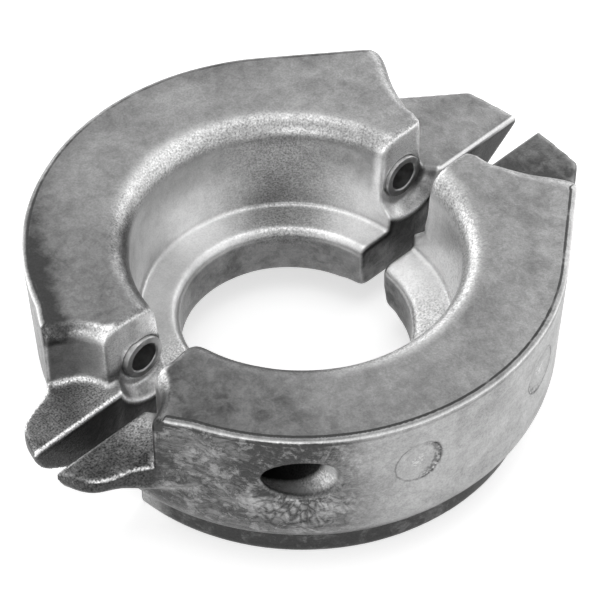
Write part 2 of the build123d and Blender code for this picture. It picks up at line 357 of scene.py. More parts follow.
def band(tree, value, middle, reach, edge):
    """1 within reach of a middle, 0 past the soft edge."""
    gap = maths(tree, "ABSOLUTE", maths(tree, "SUBTRACT", value, middle))
    return ramp(tree, gap, reach + edge, reach)


def blend(tree, *terms):
    """Sum of values, each with its weight."""
    total = 0.0
    for value, weight in terms:
        total = maths(tree, "MULTIPLY_ADD", value, weight, total)
    return total


def product(tree, *values):
    """Values multiplied together."""
    total = values[0]
    for value in values[1:]:
        total = maths(tree, "MULTIPLY", total, value)
    return total


def masked(tree, marks, mask, weights):
    """Marks limited by a mask, each with its weight."""
    return [(product(tree, marks[name], mask), weight) for name, weight in weights.items()]


def span(tree, across, up):
    """Length of a line with these two sides."""
    return maths(tree, "SQRT", maths(tree, "MULTIPLY_ADD", across, across, maths(tree, "MULTIPLY", up, up)))


def fact(tree, name, output="Fac"):
    """A value kept per vertex."""
    return add(tree, "ShaderNodeAttribute", attribute_name=name).outputs[output]


def speckle(tree, vector, size, detail=2.0, roughness=0.5, distortion=0.0, seed=0.0):
    """Noise whose features are about size millimetres, over a vector in millimetres."""
    made = tree.nodes.new("ShaderNodeTexNoise")
    made.noise_dimensions = "4D"
    put(tree, made.inputs["Vector"], vector)
    put(tree, made.inputs["W"], seed)
    put(tree, made.inputs["Scale"], maths(tree, "DIVIDE", 1.0, size))
    made.inputs["Detail"].default_value = detail
    made.inputs["Roughness"].default_value = roughness
    made.inputs["Distortion"].default_value = distortion
    return made.outputs["Fac"]


def group(name, numbers, outputs):
    """An empty shader node group: a vector and named numbers go in, the named values come out."""
    tree = bpy.data.node_groups.new(name, "ShaderNodeTree")
    tree.interface.new_socket("Vector", in_out="INPUT", socket_type="NodeSocketVector")
    for label, default in numbers.items():
        socket = tree.interface.new_socket(label, in_out="INPUT", socket_type="NodeSocketFloat")
        socket.default_value = default
    for label in outputs:
        tree.interface.new_socket(label, in_out="OUTPUT", socket_type="NodeSocketFloat")
    return tree, tree.nodes.new("NodeGroupInput").outputs, tree.nodes.new("NodeGroupOutput").inputs


def placed(tree, name, **values):
    """Outputs of the node group of that name, placed in a material."""
    made = tree.nodes.new("ShaderNodeGroup")
    made.node_tree = bpy.data.node_groups[name]
    for label, value in values.items():
        put(tree, made.inputs[label], value)
    return made.outputs


def cleared(made):
    """The node tree of a material or a world, emptied."""
    made.use_nodes = True
    made.node_tree.nodes.clear()
    return made.node_tree


def material(name):
    """A material that holds one Principled shader."""
    made = bpy.data.materials.new(name)
    tree = cleared(made)
    shader = tree.nodes.new("ShaderNodeBsdfPrincipled")
    add(tree, "ShaderNodeOutputMaterial", Surface=shader.outputs[0])
    return made, tree, shader


def millimetres(tree):
    """Object position in millimetres."""
    place = tree.nodes.new("ShaderNodeTexCoord").outputs["Object"]
    return add(tree, "ShaderNodeVectorMath", operation="SCALE", Vector=place, Scale=1 / MM).outputs[0]


def make_grain_group():
    """Sandy casting grain: a height, and masks of its pits and its bright points."""
    tree, given, out = group("Casting grain", {"Size": 0.5, "Seed": 0.0}, ("Height", "Pits", "Points"))
    wide = maths(tree, "MULTIPLY", given["Size"], 2.6)
    fine = speckle(tree, given["Vector"], given["Size"], detail=1.0, roughness=0.6, seed=given["Seed"])
    coarse = speckle(tree, given["Vector"], wide, detail=1.0, seed=given["Seed"])
    put(tree, out["Height"], blend(tree, (fine, 0.6), (coarse, 0.4)))
    put(tree, out["Pits"], ramp(tree, fine, 0.50, 0.28, smooth=False))
    put(tree, out["Points"], ramp(tree, fine, 0.50, 0.72, smooth=False))


def make_mottle_group():
    """Uneven dulling of the skin, in broad clouds."""
    tree, given, out = group("Mottle", {"Size": 12.0, "Seed": 0.0}, ("Clouds",))
    broad = speckle(tree, given["Vector"], given["Size"], detail=5.0, roughness=0.62, distortion=0.6,
                    seed=given["Seed"])
    put(tree, out["Clouds"], ramp(tree, broad, 0.34, 0.68))


def make_flow_group():
    """Marks of the cooling metal: streaks drawn out along x, and torn plates with thin outlines."""
    tree, given, out = group("Flow marks", {"Length": 16.0, "Width": 2.0, "Seed": 0.0},
                             ("Height", "Streaks", "Plates", "Lines"))
    split = add(tree, "ShaderNodeSeparateXYZ", Vector=given["Vector"])
    bend = speckle(tree, given["Vector"], 11.0, detail=2.5, roughness=0.6, seed=given["Seed"])
    swing = maths(tree, "MULTIPLY", maths(tree, "SUBTRACT", bend, 0.5), 11.0)
    along = maths(tree, "DIVIDE", split.outputs[0], given["Length"])
    across = maths(tree, "DIVIDE", maths(tree, "ADD", split.outputs[1], swing), given["Width"])
    drawn_out = add(tree, "ShaderNodeCombineXYZ", X=along, Y=across, Z=bend).outputs[0]
    streaks = speckle(tree, drawn_out, 1.0, detail=7.0, roughness=0.78, distortion=0.2, seed=given["Seed"])
    put(tree, out["Height"], streaks)
    put(tree, out["Streaks"], ramp(tree, streaks, 0.28, 0.78, smooth=False))
    plates = speckle(tree, given["Vector"], 5.5, detail=6.0, roughness=0.75, distortion=0.6,
                     seed=given["Seed"])
    edge = maths(tree, "ABSOLUTE", maths(tree, "SUBTRACT", plates, 0.50))
    put(tree, out["Plates"], ramp(tree, plates, 0.50, 0.60))
    put(tree, out["Lines"], ramp(tree, edge, 0.02, 0.0))


def make_splash_group():
    """Marks of metal spreading out from a hole at the vector's origin: streaks and petal-like cells."""
    tree, given, out = group("Splash marks", {"Seed": 0.0}, ("Streaks", "Cells", "Outlines", "Distance"))
    split = add(tree, "ShaderNodeSeparateXYZ", Vector=given["Vector"])
    u, v = split.outputs[0], split.outputs[1]
    distance = span(tree, u, v)
    turn = maths(tree, "ARCTAN2", u, v)
    bend = maths(tree, "SUBTRACT", speckle(tree, given["Vector"], 5.0, seed=given["Seed"]), 0.5)
    polar = add(tree, "ShaderNodeCombineXYZ", X=blend(tree, (turn, 4.5), (bend, 0.9)),
                Y=blend(tree, (distance, 0.20), (bend, 1.0))).outputs[0]
    put(tree, out["Streaks"], ramp(tree, speckle(tree, polar, 0.35, seed=given["Seed"]), 0.35, 0.7))
    cells = add(tree, "ShaderNodeTexVoronoi", feature="DISTANCE_TO_EDGE", Vector=polar, Scale=1.5)
    torn = maths(tree, "MULTIPLY_ADD", bend, 0.5, cells.outputs["Distance"])
    put(tree, out["Cells"], ramp(tree, torn, 0.02, 0.34))
    put(tree, out["Outlines"], ramp(tree, torn, 0.06, -0.02))
    put(tree, out["Distance"], distance)


def make_plug_group():
    """Round mark of a core plug: x and y of the vector start at its middle, z is 1 where it may show."""
    tree, given, out = group("Plug mark", {"Radius": 7.0}, ("Height", "Ring", "Shade"))
    u, v, present = add(tree, "ShaderNodeSeparateXYZ", Vector=given["Vector"]).outputs
    distance = span(tree, u, v)
    ragged = maths(tree, "SUBTRACT", speckle(tree, given["Vector"], 1.1), 0.5)
    outward = blend(tree, (distance, 1.0), (ragged, 0.9), (given["Radius"], -1.0))
    put(tree, out["Height"], product(tree, ramp(tree, outward, -0.7, 0.1), present))
    put(tree, out["Ring"], product(tree, band(tree, outward, -0.1, 0.12, 0.25), present))
    # painted shade: a crescent on one side of the mark
    crescent = product(tree, band(tree, outward, -0.9, 0.5, 0.8), ramp(tree, u, 1.0, -4.5),
                       ramp(tree, ragged, -0.12, 0.05))
    marks = product(tree, ramp(tree, distance, 2.6, 1.6),
                    ramp(tree, maths(tree, "ABSOLUTE", ragged), 0.05, 0.12))
    put(tree, out["Shade"], product(tree, maths(tree, "MULTIPLY_ADD", marks, -0.8, crescent), present))


# ---- materials ----

def zinc_material(name, look, zinc, tarnish, grain):
    """As-cast zinc dulled in clouds, with grain, flow marks, painted highlight and shade, and painted lines
    at its edges.
    """
    made, tree, shader = material(name)
    place = millimetres(tree)
    rim, age, convex, sand, flowing = (fact(tree, key) for key in ("rim", "age", "convex", "sand", "flow"))
    pocket = fact(tree, "pocket", "Vector")

    grains = placed(tree, "Casting grain", Vector=place, Size=GRAIN_SIZE, Seed=look.seed)
    mottle = placed(tree, "Mottle", Vector=place, Size=CLOUD_SIZE, Seed=look.seed)
    small = placed(tree, "Mottle", Vector=place, Size=SMALL_CLOUD_SIZE, Seed=look.seed + 3.0)
    flow = placed(tree, "Flow marks", Vector=fact(tree, "wall", "Vector"), Length=FLOW_LENGTH,
                  Width=FLOW_WIDTH, Seed=look.seed)
    splash = placed(tree, "Splash marks", Vector=pocket, Seed=look.seed)
    plug = placed(tree, "Plug mark", Vector=fact(tree, "plug", "Vector"), Radius=PLUG_R)

    # marks spread from the pocket: cells below it, streaks elsewhere
    up = add(tree, "ShaderNodeSeparateXYZ", Vector=pocket).outputs[1]
    near = product(tree, ramp(tree, splash["Distance"], SPLASH_REACH, SPLASH_REACH - 9),
                   ramp(tree, splash["Distance"], POCKET_R + 0.1, POCKET_R + 1.6), flowing)
    below = product(tree, ramp(tree, up, -4.0, -8.0), near)
    beside = product(tree, near, maths(tree, "SUBTRACT", 1.0, below))

    # painted highlight on a bead round the outer rim between two lines of painted shade, which are broken up
    # along their length
    broken = ramp(tree, speckle(tree, place, RIM_BREAK, detail=3.0, seed=look.seed + 5.0),
                  0.32, 0.55, 0.35, 1.0)
    shade_line_above = product(tree, band(tree, rim, 0.5, 0.15, 0.3), broken)
    shade_line_below = product(tree, band(tree, rim, -1.8, 0.2, 0.4), broken)
    bead_highlight = band(tree, rim, -0.6, 0.12, 0.35)

    # tone of the metal in clouds and marks, with painted shade near the rim, painted highlight on rounded
    # edges, painted shade lines and bead highlight at the rim, and painted shade on the plug marks
    darkening = blend(tree, (age, 1.0), (mottle["Clouds"], DULL_CLOUDS), (small["Clouds"], DULL_SMALL_CLOUDS),
                 (ramp(tree, rim, 8.0, 1.0), SHADE_NEAR_RIM), (convex, DULL_EDGE_WEAR_AND_HIGHLIGHT),
                 *masked(tree, flow, flowing, DULL_FLOW), *masked(tree, splash, beside, DULL_BESIDE_POCKET),
                 *masked(tree, splash, below, DULL_BELOW_POCKET),
                 (shade_line_above, look.rim_line), (shade_line_below, BELOW_LINE_SHARE * look.rim_line),
                 (bead_highlight, BEAD_HIGHLIGHT), (plug["Ring"], DULL_PLUG_RING), (plug["Shade"], DULL_PLUG_SHADE))
    darkening = maths(tree, "ADD", darkening, DULL_START, clamp=True)
    sandy = product(tree, maths(tree, "SUBTRACT", grains["Points"], grains["Pits"]), sand)
    sandy = maths(tree, "MULTIPLY_ADD", sandy, SAND_CONTRAST, 1.0)
    # the fresh colour also gives the painted highlights, the dark colour the tarnish and the painted shade
    skin = mixed(tree, darkening, (*zinc, 1), (*tarnish, 1))
    put(tree, shader.inputs["Base Color"], mixed(tree, 1.0, skin, sandy, blend="MULTIPLY"))
    shader.inputs["Metallic"].default_value = ZINC_METALLIC
    shader.inputs["Specular IOR Level"].default_value = ZINC_SPECULAR
    rough = blend(tree, (mottle["Clouds"], 0.08), (grains["Pits"], 0.08), (ZINC_ROUGHNESS, 1.0))
    put(tree, shader.inputs["Roughness"], rough)

    relief = blend(tree, (small["Clouds"], RELIEF_CLOUDS), *masked(tree, flow, flowing, RELIEF_FLOW),
                   *masked(tree, splash, below, RELIEF_BELOW_POCKET),
                   *masked(tree, splash, beside, RELIEF_BESIDE_POCKET), (plug["Height"], RELIEF_PLUG))
    broad = add(tree, "ShaderNodeBump", Strength=0.6, Distance=RELIEF_HEIGHT, Height=relief)
    depth = maths(tree, "MULTIPLY_ADD", sand, 0.6, 0.4)
    fine = add(tree, "ShaderNodeBump", Strength=1.0, Distance=grain,
               Height=product(tree, grains["Height"], depth), Normal=broad.outputs[0])
    put(tree, shader.inputs["Normal"], fine.outputs[0])
    return made


def steel_material(colour):
    """Turned steel with fine rings round its axis."""
    made, tree, shader = material("turned_steel")
    place = millimetres(tree)
    split = add(tree, "ShaderNodeSeparateXYZ", Vector=place)
    axis_x = ramp(tree, split.outputs[0], -1.0, 1.0, HORN_BOLT_X, WING_BOLT_X)
    radius = span(tree, maths(tree, "SUBTRACT", split.outputs[0], axis_x),
                  maths(tree, "SUBTRACT", split.outputs[2], BOLT_Z))
    rings = add(tree, "ShaderNodeCombineXYZ", X=radius, Y=split.outputs[1]).outputs[0]
    lines = speckle(tree, rings, STEEL_RING_SIZE, detail=1.0)
    blots = placed(tree, "Mottle", Vector=place, Size=STEEL_BLOT_SIZE, Seed=STEEL_SEED)
    skin = mixed(tree, maths(tree, "MULTIPLY", blots["Clouds"], 0.5), (*colour, 1), STEEL_BLOT_COLOUR)
    put(tree, shader.inputs["Base Color"], skin)
    shader.inputs["Metallic"].default_value = 1.0
    put(tree, shader.inputs["Roughness"], ramp(tree, lines, 0.3, 0.7, 0.30, 0.45))
    bump = add(tree, "ShaderNodeBump", Strength=0.4, Distance=STEEL_RING_HEIGHT, Height=lines)
    put(tree, shader.inputs["Normal"], bump.outputs[0])
    return made


# ---- castings ----

def wall_radius(z):
    """Radius of the drafted outer wall at a height."""
    return OUTER_R - (TOP_Z - z) * tan(radians(WALL_DRAFT))


def gridded(node, size):
    """Even quad mesh over a CAD node, as a new mesh."""
    scratch = bpy.data.objects.new("scratch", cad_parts[node].data.copy())
    link(scratch)
    weld = scratch.modifiers.new("weld", "WELD")
    weld.merge_threshold = 0.001 * MM
    remesh = scratch.modifiers.new("grid", "REMESH")
    remesh.mode = "VOXEL"
    remesh.voxel_size = size
    made = bpy.data.meshes.new_from_object(scratch.evaluated_get(bpy.context.evaluated_depsgraph_get()))
    bpy.data.objects.remove(scratch)
    return made


def read_vectors(mesh, key):
    """A vector for each vertex of a mesh."""
    found = np.empty(len(mesh.vertices) * 3)
    mesh.vertices.foreach_get(key, found)
    return found.reshape(-1, 3)


def write_points(mesh, points):
    """Move the vertices of a mesh to points in millimetres."""
    mesh.vertices.foreach_set("co", (points * MM).astype(np.float32).ravel())
    mesh.update()


def neighbours(mesh):
    """Function that averages values over each vertex's neighbours."""
    ends = np.empty(len(mesh.edges) * 2, int)
    mesh.edges.foreach_get("vertices", ends)
    first, second = ends.reshape(-1, 2).T
    total = len(mesh.vertices)
    count = np.bincount(np.concatenate([first, second]), minlength=total)

    def averaged(values):
        if values.ndim == 2:
            return np.stack([averaged(column) for column in values.T], 1)
        return (np.bincount(first, values[second], total) + np.bincount(second, values[first], total)) / count

    return averaged


def relaxed(averaged, points, rounds, weight):
    """Points drawn towards the middle of their neighbours, by a weight for each."""
    for _ in range(rounds):
        points = points + 0.5 * weight[:, None] * (averaged(points) - points)
    return points


def eased(value, low, high):
    """0 at low, 1 at high, eased between them."""
    t = np.clip((value - low) / (high - low), 0, 1)
    return t * t * (3 - 2 * t)


def towards(value, target, weight):
    """The value where the weight is 0, the target where it is 1."""
    return value + (target - value) * weight


def hump(value, middle, reach):
    """1 at the middle, fading both ways."""
    return np.exp(-((value - middle) / reach) ** 2)


def folded(points):
    """x, y and z with both halves laid over each other."""
    return points[:, 0], np.abs(points[:, 1]), points[:, 2]


class Skin:
    """Where each vertex lies on its half, and how its skin faces."""

    def __init__(self, points, normals):
        self.x, self.y, self.z = folded(points)
        self.radius = np.hypot(self.x, self.y - RING_Y)
        self.angle = np.degrees(np.arctan2(self.y - RING_Y, self.x))
        self.tilt = normals[:, 2]
        self.upright = 1 - np.abs(self.tilt)
        self.within_bell = eased(self.radius, BELL_REACH_R, BELL_REACH_R - 5)


def rim_outline(node):
    """Points along the top face's outer edge, and the directions they face in plan."""
    body = bmesh.new()
    body.from_mesh(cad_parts[node].data)
    bmesh.ops.remove_doubles(body, verts=body.verts, dist=0.001 * MM)
    body.normal_update()
    top = (TOP_Z - 0.01) * MM
    flat = {f for f in body.faces if f.normal.z > 0.9999 and f.calc_center_median().z > top}
    found = []
    for edge in body.edges:
        inside = [f for f in edge.link_faces if f in flat]
        if len(inside) == 1:
            a, b = (v.co / MM for v in edge.verts)
            facing = (b - a).cross(Vector((0, 0, 1))).normalized()
            if facing.dot(a - inside[0].calc_center_median() / MM) < 0:
                facing = -facing
            steps = max(1, int((b - a).length / RIM_STEP))
            found += [(*a.lerp(b, (i + 0.5) / steps)[:2], *facing[:2]) for i in range(steps)]
    body.free()
    found = np.array(found)
    side = np.sign(found[0, 1])
    x, y = found[:, 0], found[:, 1] * side - RING_Y
    radius, angle = np.hypot(x, y), np.degrees(np.arctan2(y, x))
    edge_r = OUTER_R - RIM_ROUND
    straight = x * cos(radians(WING_NORMAL)) + y * sin(radians(WING_NORMAL))
    outward = found[:, 2] * FLARE_FACING[0] + found[:, 3] * side * FLARE_FACING[1]
    on_ring = (np.abs(radius - edge_r) < 0.4) & (angle > WING_NORMAL) & (angle < FLARE_ANGLE)
    on_straight = (np.abs(straight - edge_r) < 0.4) & (angle <= WING_NORMAL)
    on_flare = (angle >= FLARE_ANGLE) & (outward > 0.5) & (radius > edge_r - 1)
    return found[on_ring | on_straight | on_flare]


def rim_profile(points, node):
    """Millimetres along the skin from the rim: positive over the top face, negative down the wall."""
    outline = rim_outline(node)
    near = np.flatnonzero(points[:, 2] > TOP_Z - 5)
    from_axis = np.hypot(points[:, 0], np.abs(points[:, 1]) - RING_Y)
    profile = np.where(from_axis > 55, -RIM_FAR, RIM_FAR_INSIDE)
    for start in range(0, len(near), RIM_BATCH):
        part = near[start:start + RIM_BATCH]
        gaps = points[part, None, :2] - outline[None, :, :2]
        best = (gaps ** 2).sum(2).argmin(1)
        gap = gaps[np.arange(len(part)), best]
        inward = -(gap * outline[best, 2:]).sum(1)
        beyond = np.abs(gap[:, 0] * outline[best, 3] - gap[:, 1] * outline[best, 2])
        drop = np.clip(TOP_Z - 0.12 - points[part, 2], 0, None)
        along = np.clip(inward, 0, None) - drop
        away = np.where(along > -0.7, RIM_FAR, -RIM_FAR)
        profile[part] = along + away * eased(beyond, 0.5, 2.5)
    return profile


def store(mesh, name, values):
    """Keep values per vertex for the material."""
    kind, key = ("FLOAT", "value") if values.ndim == 1 else ("FLOAT_VECTOR", "vector")
    kept = mesh.attributes.new(name, kind, "POINT")
    kept.data.foreach_set(key, values.astype(np.float32).ravel())


def soft_zones(points):
    """How much the edges of the horn, the wing and the cups are softened."""
    x, y, z = folded(points)
    zone = np.zeros(len(points))
    zone[(x < HORN_ROOT_X - 5) & (z < HORN_Z + 2.2)] = 1
    zone = zone * eased(y, FACE_Y + 1, FACE_Y + 2.5)
    zone[(x > WING_ROOT_X + 2) & (z < WING_Z + 2.3)] = 0.6
    for bolt_x in (WING_BOLT_X, HORN_BOLT_X):
        zone[(y < RECESS_Y) & (np.hypot(x - bolt_x, z - BOLT_Z) < CUP_R + 2.5)] = 0.5
    return zone


def fan_zone(points):
    """Sides of the recess above each bush, which run into each other softly."""
    x, y, z = folded(points)
    off_bolt = np.minimum(np.abs(x - WING_BOLT_X), np.abs(x - HORN_BOLT_X))
    from_bush = np.hypot(off_bolt, z - BOLT_Z)
    inside = (eased(off_bolt, FAN_REACH, FAN_REACH - 2) * eased(y, FACE_Y + 0.3, FACE_Y + 1)
              * eased(y, RECESS_Y, RECESS_Y - 2))
    return inside * eased(from_bush, BUSH_R + 0.5, BUSH_R + 2) * eased(z, BOLT_Z - 2, BOLT_Z + 2)


def foot_zone(points):
    """Lower corners of the mating faces beside the bore, which are well rounded."""
    x, y, z = folded(points)
    return (eased(z, 17, 13) * eased(y, RECESS_Y, RECESS_Y - 3)
            * eased(np.abs(x), WING_ROOT_X + 4, WING_ROOT_X))


def hollows(bulge):
    """How hollow the skin is, from 0 to 1."""
    return np.clip(-bulge * CONVEX_REACH, 0, 1)


def ring_tarnish_and_shading(at, rim, look):
    """Darkness of the top face, the outer wall and the foot, with painted shade towards the horn and on the
    foot, and a painted highlight near the rim of half B.
    """
    # painted shade on the top face, from shade_from towards the horn's root
    age = towards(AGE_TOP, TOP_SHADE_AT_HORN, eased(at.x, look.shade_from, HORN_ROOT_X - 2))
    # painted highlight on the top face near the rim, on half B
    age = age - RIM_HIGHLIGHT_SHARE * look.lighter_rim * eased(rim, 9, 1)
    wall = eased(at.upright, 0.3, 0.8) * eased(at.radius, WALL_FROM_R, WALL_FROM_R + 4)
    horn_side = eased(at.angle, HORN_SIDE_ANGLE + 2, HORN_SIDE_ANGLE + 28)
    age = towards(age, towards(AGE_WALL, AGE_WALL_AT_HORN, horn_side), wall)
    # painted shade on the foot, under the outer wall
    foot = eased(at.z, FOOT_Z + 3, FOOT_Z) * eased(at.radius, BELL_REACH_R, BELL_REACH_R + 6)
    return towards(age, FOOT_SHADE, foot)


def lug_tarnish_and_shading(age, at):
    """Darkness of the wing and the horn laid over that of the ring, with a painted highlight on the horn near
    the mating face.
    """
    wing = eased(at.z, WING_Z + 2, WING_Z + 0.5) * eased(at.x, WING_ROOT_X - 2, WING_ROOT_X + 2)
    age = towards(age, AGE_WING, wing)
    horn = (eased(at.z, TOP_Z - 1, TOP_Z - 5) * eased(at.x, HORN_ROOT_X + 1, HORN_ROOT_X - 4)
            * eased(at.y, HORN_END_Y, HORN_END_Y - 6))
    age = towards(age, AGE_HORN, horn)
    # painted highlight on the horn near the mating face
    beside_face = (eased(at.x, HORN_ROOT_X - 18, HORN_ROOT_X - 4) * eased(at.y, HORN_INNER_Y, 8)
                   * eased(at.x, HORN_ROOT_X, HORN_ROOT_X - 3) * eased(at.z, HORN_Z + 2, HORN_Z))
    return age - HORN_HIGHLIGHT_SHARE * beside_face


def horn_end_shading(age, at):
    """Darkness of the wall above the horn, lighter towards the mating face, and painted highlight and shade
    on its rounded top.
    """
    wall = (eased(at.z, HORN_Z + 1, HORN_Z + 3) * eased(at.z, TOP_Z - 4, TOP_Z - 6)
            * eased(at.x, HORN_ROOT_X + 6, HORN_ROOT_X + 3) * eased(at.y, HORN_END_Y + 2, HORN_END_Y - 2)
            * eased(at.y, FACE_Y + 1, FACE_Y + 2) * eased(at.upright, 0.3, 0.6))
    inner = eased(at.y, HORN_INNER_Y, 9)
    age = towards(age, towards(AGE_END_WALL, AGE_END_WALL_INNER, inner), wall)
    # painted highlight on the rounding near the mating face, painted shade further out
    rounding = (eased(at.z, TOP_Z - 6, TOP_Z - 4) * eased(at.upright, 0.01, 0.1)
                * eased(at.x, HORN_ROOT_X + 2, HORN_ROOT_X - 1) * eased(at.y, HORN_END_Y, HORN_END_Y - 3))
    inner = eased(at.y, HORN_INNER_Y + 2, 9)
    return towards(age, towards(END_ROUND_SHADE, END_ROUND_HIGHLIGHT, inner), rounding)


def edge_shading(age, at, rim, bulge, look):
    """Darkness of the rim's strip, the horn's edges and the mating face: painted highlight and shade."""
    # painted shade on a strip beside the rim and painted highlight on its bead, on half A
    strip = eased(at.x, -38, -60) * look.rim_strip
    age = age + STRIP_SHADE * strip * eased(rim, 0.3, 1.5) * eased(rim, 9, 2)
    age = age - STRIP_BEAD_HIGHLIGHT * strip * eased(np.abs(rim + 0.6), 0.7, 0.1)
    # painted highlight in the hollows at the horn's root
    age = age - ROOT_SHINE * hollows(bulge) * eased(at.x, HORN_ROOT_X + 1, HORN_ROOT_X - 1)
    # painted highlight along the horn's outer top edge, painted shade below it
    horn_edge = (eased(at.x, HORN_ROOT_X - 6, HORN_ROOT_X - 8) * eased(at.y, 11, 14)
                 * eased(at.z, 20, 24) * eased(at.z, HORN_Z + 1, HORN_Z))
    rounded = eased(at.tilt, 0.30, 0.45) * eased(at.tilt, 0.90, 0.75)
    age = towards(age, HORN_EDGE_HIGHLIGHT, horn_edge * rounded)
    below = (eased(at.x, HORN_ROOT_X - 14, HORN_ROOT_X - 17) * eased(at.tilt, -0.1, 0.05)
             * eased(at.tilt, 0.30, 0.20))
    age = towards(age, BELOW_HORN_EDGE_SHADE, horn_edge * below)
    # painted shade on the mating face in the gap
    age = towards(age, GAP_SHADE, eased(at.y, FACE_Y + 1.2, FACE_Y + 0.4))
    # painted highlight along the top edge of the mating face
    lug_top = np.where(at.x > 0, WING_Z, HORN_Z)
    mating_edge = (eased(at.y, FACE_Y + 1.1, FACE_Y + 0.6) * eased(at.z, lug_top - 1.3, lug_top - 0.7)
                   * (at.z < lug_top + 1))
    return towards(age, MATING_EDGE_HIGHLIGHT, look.edge_shine * mating_edge)


def bell_shading(at, tarnish):
    """Darkness of the bell, its ledge and its mouth: painted shade mid-wall, painted highlights beside it,
    and painted highlight and shade on the mouth.
    """
    widening = 24 * eased(at.z, BELL_UPPER_Z - 14, BELL_UPPER_Z)
    # painted shade in the middle of the bell wall, painted highlights either side of it
    facing = hump(at.angle, BELL_MIDDLE_ANGLE, BELL_MIDDLE_REACH + widening)
    glow = sum(hump(at.angle, angle, reach) for angle, reach in BELL_GLOWS)
    age = towards(AGE_BELL * tarnish, 0.0, glow * eased(at.z, BELL_UPPER_Z, BELL_UPPER_Z - 10))
    age = towards(age, BELL_MIDDLE_SHADE, tarnish * facing * (0.5 + 0.5 * at.upright))
    age = towards(age, AGE_BELL_AT_HORN, eased(at.angle, HORN_SIDE_ANGLE, HORN_SIDE_ANGLE + 38))
    at_horn = eased(at.angle, HORN_SIDE_ANGLE, HORN_SIDE_ANGLE + 26)
    # painted highlight on the mouth's rounding at the back, painted shade at the horn
    mouth_age = towards(AGE_MOUTH, MOUTH_HIGHLIGHT, hump(at.angle, MOUTH_BRIGHT_ANGLE, 20))
    mouth_age = towards(mouth_age, MOUTH_SHADE_AT_HORN, at_horn)
    mouth = eased(at.z + 4 * at_horn, TOP_Z - 6, TOP_Z - 1)
    return towards(age, mouth_age, mouth * towards(0.75 * eased(at.x, 47, 42), 1, tarnish))


def inside_shading(age, at, bulge, look):
    """Darkness of the bell and the bore laid over that of the skin: painted shade in the bore and in the
    bell's hollows.
    """
    in_bell = at.within_bell * eased(at.y, FACE_Y + 0.2, FACE_Y + 1.5)
    age = towards(age, bell_shading(at, look.bell_tarnish), in_bell)
    # painted shade in the bell's hollows
    age = age + BELL_HOLLOW_SHADE * hollows(bulge) * in_bell
    # painted shade in the bore, below the ledge
    in_bore = (eased(at.z, LEDGE_Z - 1.2, LEDGE_Z - 3.2) * at.within_bell
               * eased(at.y, FACE_Y + 0.2, FACE_Y + 1))
    return towards(age, BORE_SHADE, in_bore)


def pocket_shading(age, at):
    """Darkness of the access pockets: painted shade inside, painted highlight towards the lip."""
    depth = wall_radius(at.z) - at.radius
    off_axis = np.minimum(np.abs(at.x - HORN_BOLT_X), np.abs(at.x - WING_BOLT_X))
    inside = eased(depth, 1, 2.5) * (at.radius > BELL_REACH_R) * (at.y > BUSH_END_Y - 1)
    inside = inside * eased(np.hypot(off_axis, at.z - BOLT_Z), POCKET_R + 1, POCKET_R + 0.5)
    # painted shade inside the pocket, painted highlight towards its lip
    age = towards(age, POCKET_SHADE, inside)
    return towards(age, POCKET_LIP_HIGHLIGHT, inside * eased(depth, LIP_DEPTH, LIP_DEPTH - 2))


def cup_shading(age, at):
    """Darkness of the recesses round the bushes laid over that of the skin: painted highlight above each bush
    and on the arc, painted shade on one side below.
    """
    # painted highlight above each bush and along the arc, painted shade on one side below it
    shades = ((WING_BOLT_X, eased(at.x - WING_BOLT_X, 1, 6)), (HORN_BOLT_X, eased(HORN_BOLT_X - at.x, 5, 8)))
    for bolt_x, shaded in shades:
        right, up = at.x - bolt_x, at.z - BOLT_Z
        from_bolt = np.hypot(right, up)
        inside = (eased(at.y, RECESS_Y, RECESS_Y - 2) * eased(at.y, FACE_Y + 0.2, FACE_Y + 0.7)
                  * eased(at.upright, 0.2, 0.6))
        above = eased(np.abs(right), FAN_REACH, FAN_REACH - 2) * eased(up, -1, 3)
        age = towards(age, FAN_HIGHLIGHT, inside * above)
        below = eased(from_bolt, CUP_R + 1, CUP_R) * eased(up, 3, -1)
        age = towards(age, towards(FAN_HIGHLIGHT, AGE_CUP_SHADE, shaded), inside * below)
        arc = hump(from_bolt, CUP_R, 0.5) * eased(up, 2, 0) * eased(at.y, FACE_Y + 1.6, FACE_Y + 1)
        age = towards(age, CUP_ARC_HIGHLIGHT, arc)
    return age


def recess_edges(points, bulge):
    """1 along the upright edges of the recesses round the bushes."""
    x, y, z = folded(points)
    beside = (np.hypot(x, y - RING_Y) < BELL_REACH_R - 2) | (x < HORN_ROOT_X + 1)
    near = eased(y, RECESS_Y, RECESS_Y - 1.5) * eased(y, FACE_Y + 2, FACE_Y + 3) * beside
    return (near * eased(bulge, 0.08, 0.2) * eased(z, LEDGE_Z + 1, LEDGE_Z + 3)
            * eased(z, TOP_Z - 3, TOP_Z - 6))


def skin_tarnish_and_shading(at, points, rim, bulge, look):
    """Darkness of the skin by place: tone of the metal, with painted highlight and shade laid over it."""
    age = ring_tarnish_and_shading(at, rim, look)
    age = lug_tarnish_and_shading(age, at)
    age = horn_end_shading(age, at)
    age = edge_shading(age, at, rim, bulge, look)
    age = inside_shading(age, at, bulge, look)
    age = pocket_shading(age, at)
    age = cup_shading(age, at)
    # painted shade along the upright edges of the recesses
    age = towards(age, RECESS_EDGE_SHADE, recess_edges(points, bulge))
    return age + look.extra_age * (0.7 + 0.3 * eased(at.x, -25, -55) + 1.6 * eased(at.x, 66, 72))


